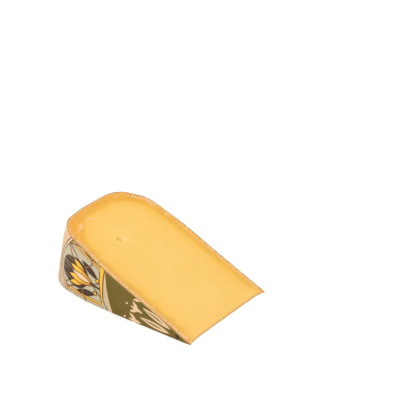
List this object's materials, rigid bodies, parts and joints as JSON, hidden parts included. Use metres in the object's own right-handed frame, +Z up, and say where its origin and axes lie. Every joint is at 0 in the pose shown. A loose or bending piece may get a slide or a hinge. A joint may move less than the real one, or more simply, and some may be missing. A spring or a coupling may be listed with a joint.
{
  "type": "cheese wedge",
  "caption": "Wedge of hard aged cheese lying on a cut face, with a broad smooth upper cut face, a small eye, a rounded rind and a thin printed film over it.",
  "frame": {"origin": "centre of the bounding box's base, on the surface that the lower cut face rests on", "axes": "+X from the rounded rind towards the thin tip, +Y along the wheel's axis from the nearer printed side to the other one, +Z up from the lower cut face"},
  "size_m": [0.1745, 0.122, 0.0656],
  "materials": {
    "cheese_paste": "golden yellow hard cheese paste, satin, darker gold next to a thin pale tan rind",
    "printed_film": "thin coated paper film, olive green with cream and ochre ornament, satin"
  },
  "bodies": {
    "root": {"cheese": "cheese_paste", "printed_film": "printed_film"}
  },
  "joints": []
}
